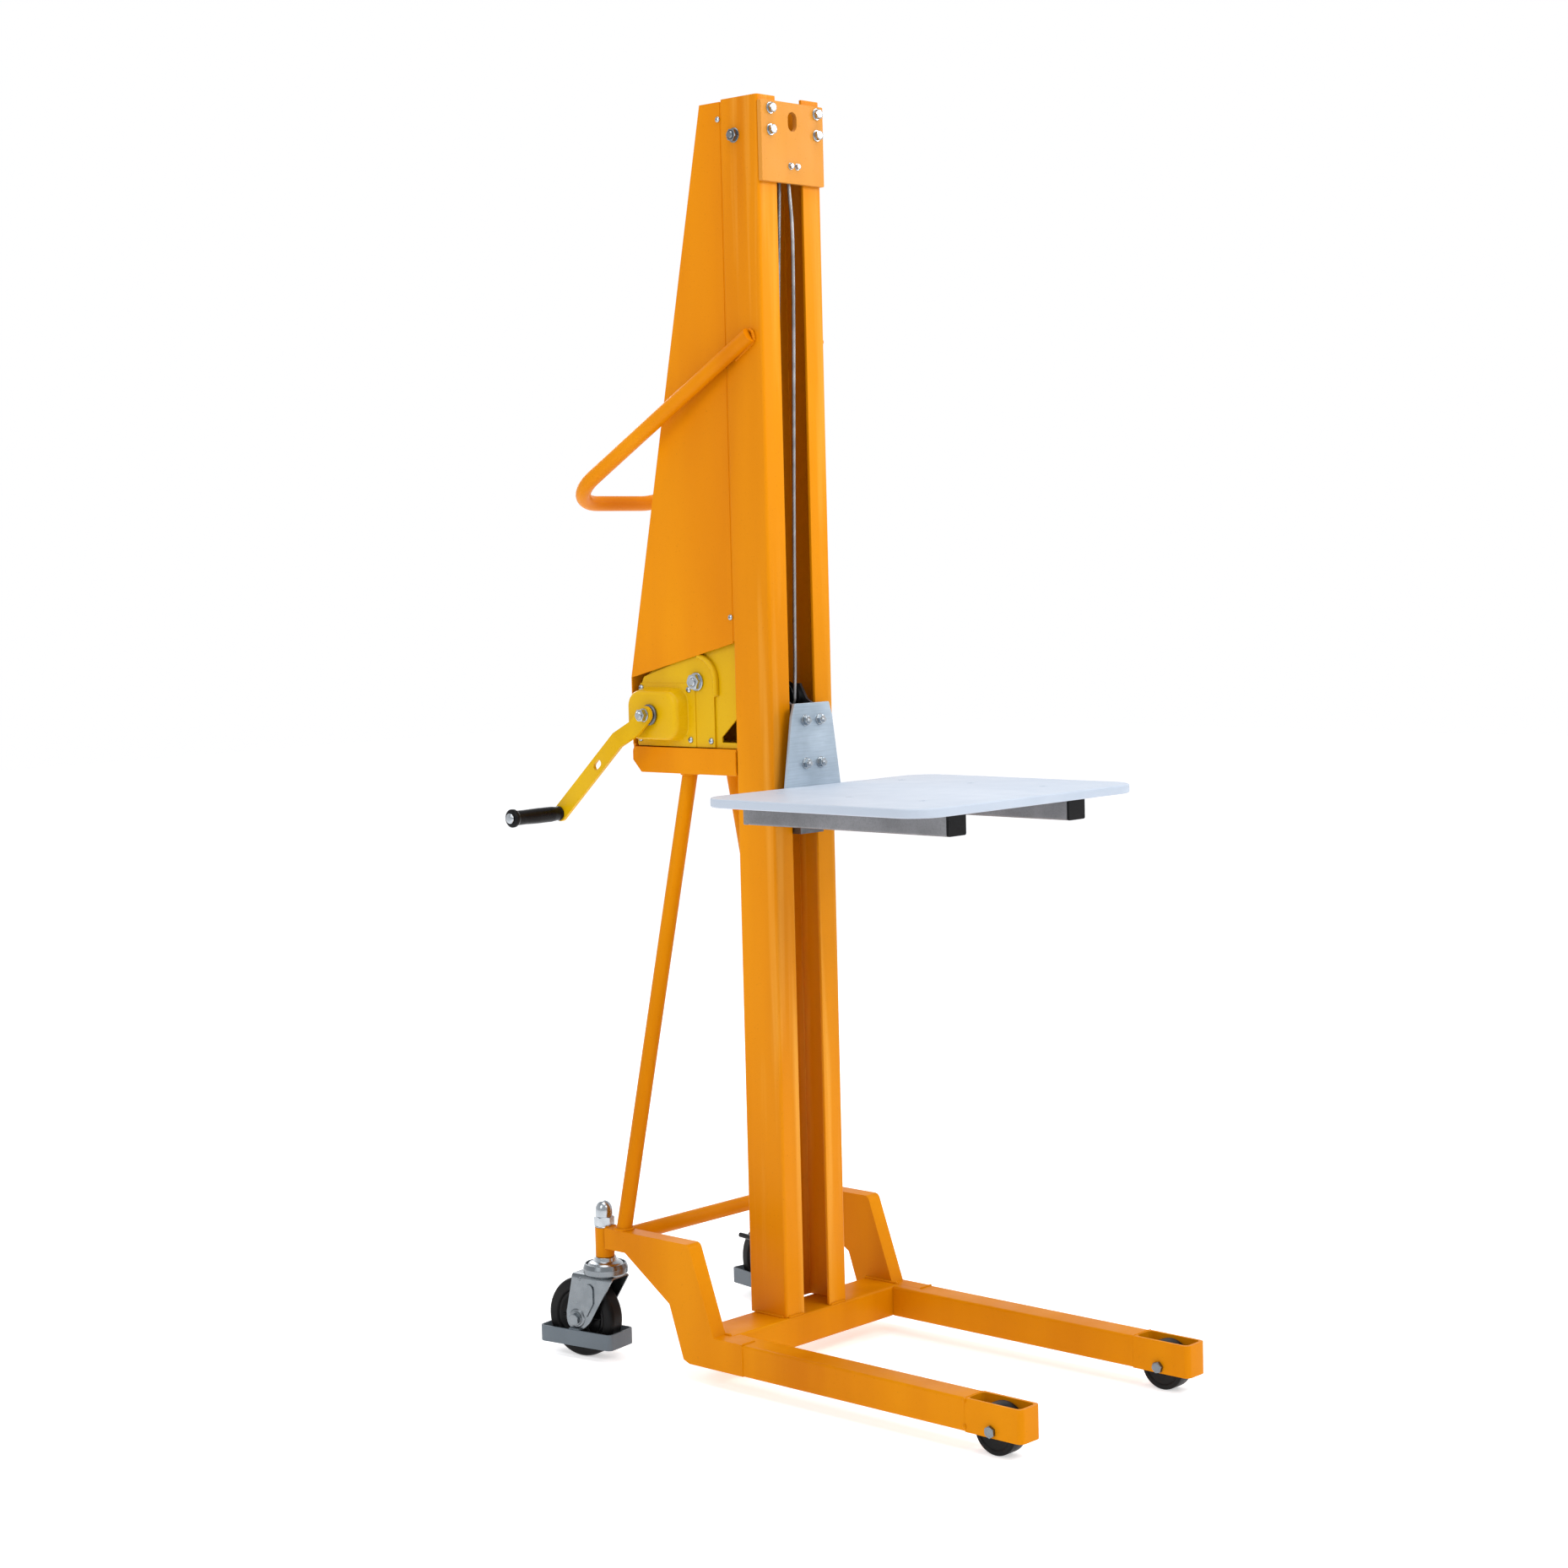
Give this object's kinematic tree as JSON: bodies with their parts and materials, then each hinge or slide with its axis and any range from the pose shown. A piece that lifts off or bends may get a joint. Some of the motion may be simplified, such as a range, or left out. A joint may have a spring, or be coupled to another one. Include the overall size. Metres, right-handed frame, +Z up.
{
  "type": "platform stacker",
  "caption": "Hand winch platform stacker: roller mast on straddle legs, wire rope hoist with a side crank, cantilevered platform, push handle and swivel casters with foot brakes.",
  "frame": {"origin": "floor level, at the centre of the footprint box", "axes": "+Z up the mast, -Y towards the load wheels and platform, +Y towards the operator, +X to the operator's left when facing the mast"},
  "size_m": [0.53, 1.0462, 2],
  "materials": {
    "orange_paint": "glossy orange powder coat",
    "yellow_paint": "semi-gloss yellow paint",
    "zinc_plate": "bright zinc plating",
    "plain_steel": "bare machined steel",
    "pale_plate": "pale grey-blue coating",
    "grey_paint": "mid grey paint",
    "slate_paint": "slate grey paint",
    "black_plastic": "black moulded plastic",
    "tyre_black": "black solid tyre",
    "platform_white": "smooth cool white board",
    "wire_rope": "galvanised stranded wire"
  },
  "bodies": {
    "frame": {"left_leg": "orange_paint", "right_leg": "orange_paint", "left_fork_tip": "orange_paint", "right_fork_tip": "orange_paint", "left_load_axle": "zinc_plate", "right_load_axle": "zinc_plate", "left_gooseneck": "orange_paint", "right_gooseneck": "orange_paint", "left_caster_sleeve": "orange_paint", "right_caster_sleeve": "orange_paint", "left_strut": "orange_paint", "right_strut": "orange_paint", "crossbeam": "orange_paint", "rear_cross_tube": "orange_paint", "left_upright": "orange_paint", "right_upright": "orange_paint", "top_plate": "orange_paint", "top_sheave_axle": "zinc_plate", "rope_anchor": "zinc_plate", "rope_guard": "orange_paint", "winch_shelf": "orange_paint", "push_handle": "orange_paint", "winch_frame": "yellow_paint", "winch_gear_cover": "yellow_paint", "rope_winch_run": "wire_rope", "rope_rear_fall": "wire_rope", "rope_front_fall": "wire_rope", "left_caster_stem": "zinc_plate", "right_caster_stem": "zinc_plate", "left_stem_nut": "zinc_plate", "right_stem_nut": "zinc_plate"},
    "carriage": {"carriage_plate": "pale_plate", "carriage_frame": "plain_steel", "carriage_sheave_pin": "zinc_plate", "platform_cross_bar": "grey_paint", "left_platform_tube": "grey_paint", "right_platform_tube": "grey_paint", "left_platform_tube_cap": "black_plastic", "right_platform_tube_cap": "black_plastic", "platform_top": "platform_white"},
    "crank": {"crank_shaft": "zinc_plate", "crank_arm": "yellow_paint"},
    "crank_grip": {"crank_grip": "black_plastic"},
    "rope_drum": {"rope_drum": "plain_steel"},
    "top_sheave": {"top_sheave": "plain_steel"},
    "carriage_sheave": {"carriage_sheave": "black_plastic"},
    "left_upper_roller": {"left_upper_roller": "plain_steel"},
    "left_lower_roller": {"left_lower_roller": "plain_steel"},
    "left_load_wheel": {"left_load_wheel": "tyre_black"},
    "left_caster_wheel": {"left_caster_wheel": "tyre_black"},
    "left_brake_pedal": {"left_brake_pedal": "black_plastic"},
    "left_caster": {"left_caster_fork": "zinc_plate", "left_foot_guard": "slate_paint"},
    "right_upper_roller": {"right_upper_roller": "plain_steel"},
    "right_lower_roller": {"right_lower_roller": "plain_steel"},
    "right_load_wheel": {"right_load_wheel": "tyre_black"},
    "right_caster_wheel": {"right_caster_wheel": "tyre_black"},
    "right_brake_pedal": {"right_brake_pedal": "black_plastic"},
    "right_caster": {"right_caster_fork": "zinc_plate", "right_foot_guard": "slate_paint"}
  },
  "joints": [
    {"name": "lift", "type": "slide", "parent": "frame", "child": "carriage", "axis": [0, 0, 1], "range_m": [-0.75, 0.6], "deforming": ["rope_front_fall", "rope_rear_fall"]},
    {"name": "drum_turn", "type": "hinge", "parent": "frame", "child": "rope_drum", "pos_m": [0, 0.2389, 1.091], "axis": [1, 0, 0], "range_deg": [-2460, 2460]},
    {"name": "crank_turn", "type": "hinge", "parent": "frame", "child": "crank", "pos_m": [0, 0.3209, 1.038], "axis": [1, 0, 0], "range_deg": [-3935, 3935]},
    {"name": "crank_grip_turn", "type": "hinge", "parent": "crank", "child": "crank_grip", "pos_m": [-0.18, 0.50814, 0.87235], "axis": [1, 0, 0], "continuous": true},
    {"name": "top_sheave_turn", "type": "hinge", "parent": "frame", "child": "top_sheave", "pos_m": [0, 0.1209, 1.942], "axis": [1, 0, 0], "range_deg": [-2870, 2870]},
    {"name": "carriage_sheave_turn", "type": "hinge", "parent": "carriage", "child": "carriage_sheave", "pos_m": [0, 0.1079, 1.066], "axis": [1, 0, 0], "range_deg": [-2155, 2155]},
    {"name": "left_upper_roller_turn", "type": "hinge", "parent": "carriage", "child": "left_upper_roller", "pos_m": [0.048, 0.1109, 1.01], "axis": [1, 0, 0], "range_deg": [-1270, 1270]},
    {"name": "left_lower_roller_turn", "type": "hinge", "parent": "carriage", "child": "left_lower_roller", "pos_m": [0.048, 0.1109, 0.89], "axis": [1, 0, 0], "range_deg": [-1270, 1270]},
    {"name": "right_upper_roller_turn", "type": "hinge", "parent": "carriage", "child": "right_upper_roller", "pos_m": [-0.048, 0.1109, 1.01], "axis": [1, 0, 0], "range_deg": [-1270, 1270]},
    {"name": "right_lower_roller_turn", "type": "hinge", "parent": "carriage", "child": "right_lower_roller", "pos_m": [-0.048, 0.1109, 0.89], "axis": [1, 0, 0], "range_deg": [-1270, 1270]},
    {"name": "left_caster_swivel", "type": "hinge", "parent": "frame", "child": "left_caster", "pos_m": [0.2138, 0.3369, 0.155], "axis": [0, 0, 1], "continuous": true},
    {"name": "left_caster_roll", "type": "hinge", "parent": "left_caster", "child": "left_caster_wheel", "pos_m": [0.22053, 0.37937, 0.065], "axis": [0.9877, -0.1564, 0], "continuous": true},
    {"name": "left_brake_press", "type": "hinge", "parent": "left_caster", "child": "left_brake_pedal", "pos_m": [0.18466, 0.34152, 0.109], "axis": [0.1564, 0.9877, 0], "range_deg": [-25, 0]},
    {"name": "left_load_wheel_roll", "type": "hinge", "parent": "frame", "child": "left_load_wheel", "pos_m": [0.205, -0.4676, 0.0375], "axis": [1, 0, 0], "continuous": true},
    {"name": "right_caster_swivel", "type": "hinge", "parent": "frame", "child": "right_caster", "pos_m": [-0.2138, 0.3369, 0.155], "axis": [0, 0, 1], "continuous": true},
    {"name": "right_caster_roll", "type": "hinge", "parent": "right_caster", "child": "right_caster_wheel", "pos_m": [-0.22053, 0.37937, 0.065], "axis": [0.9877, 0.1564, 0], "continuous": true},
    {"name": "right_brake_press", "type": "hinge", "parent": "right_caster", "child": "right_brake_pedal", "pos_m": [-0.18466, 0.34152, 0.109], "axis": [-0.1564, 0.9877, 0], "range_deg": [0, 25]},
    {"name": "right_load_wheel_roll", "type": "hinge", "parent": "frame", "child": "right_load_wheel", "pos_m": [-0.205, -0.4676, 0.0375], "axis": [1, 0, 0], "continuous": true}
  ],
  "couplings": [
    {"joint": "drum_turn", "follows": "lift", "rad_per_m": 57.143},
    {"joint": "crank_turn", "follows": "lift", "rad_per_m": -91.429},
    {"joint": "top_sheave_turn", "follows": "lift", "rad_per_m": -66.667},
    {"joint": "carriage_sheave_turn", "follows": "lift", "rad_per_m": 50},
    {"joint": "left_upper_roller_turn", "follows": "lift", "rad_per_m": 29.412},
    {"joint": "left_lower_roller_turn", "follows": "lift", "rad_per_m": -29.412},
    {"joint": "right_upper_roller_turn", "follows": "lift", "rad_per_m": 29.412},
    {"joint": "right_lower_roller_turn", "follows": "lift", "rad_per_m": -29.412}
  ]
}
